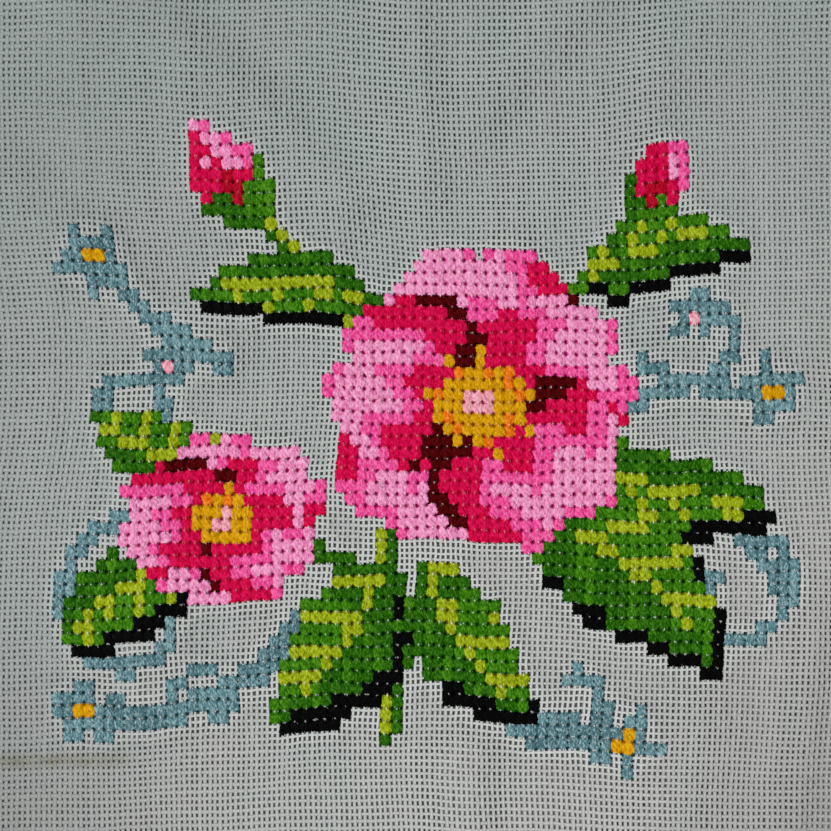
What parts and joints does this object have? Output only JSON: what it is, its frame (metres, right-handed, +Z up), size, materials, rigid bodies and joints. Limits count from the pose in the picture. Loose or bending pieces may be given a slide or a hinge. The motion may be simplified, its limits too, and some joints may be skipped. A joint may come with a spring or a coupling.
{
  "type": "cross-stitch picture",
  "caption": "Square of open-weave canvas embroidered in cross stitch with a rose spray, lying flat with soft folds, pressed creases and raw edges.",
  "frame": {"origin": "the middle of the cloth's underside, at the height of the table it lies on", "axes": "+Z up out of the worked face, +Y towards the top of the picture, +X to its right"},
  "size_m": [0.203, 0.203, 0.0037],
  "materials": {
    "canvas": "matte",
    "shell_pink_thread": "soft sheen",
    "rose_pink_thread": "soft sheen",
    "crimson_thread": "soft sheen",
    "red_thread": "soft sheen",
    "maroon_thread": "soft sheen",
    "yellow_thread": "soft sheen",
    "orange_thread": "soft sheen",
    "peach_thread": "soft sheen",
    "lime_thread": "soft sheen",
    "leaf_green_thread": "soft sheen",
    "deep_green_thread": "soft sheen",
    "black_thread": "soft sheen",
    "mist_blue_thread": "soft sheen"
  },
  "bodies": {
    "root": {"canvas_sheet": "canvas"}
  },
  "joints": []
}
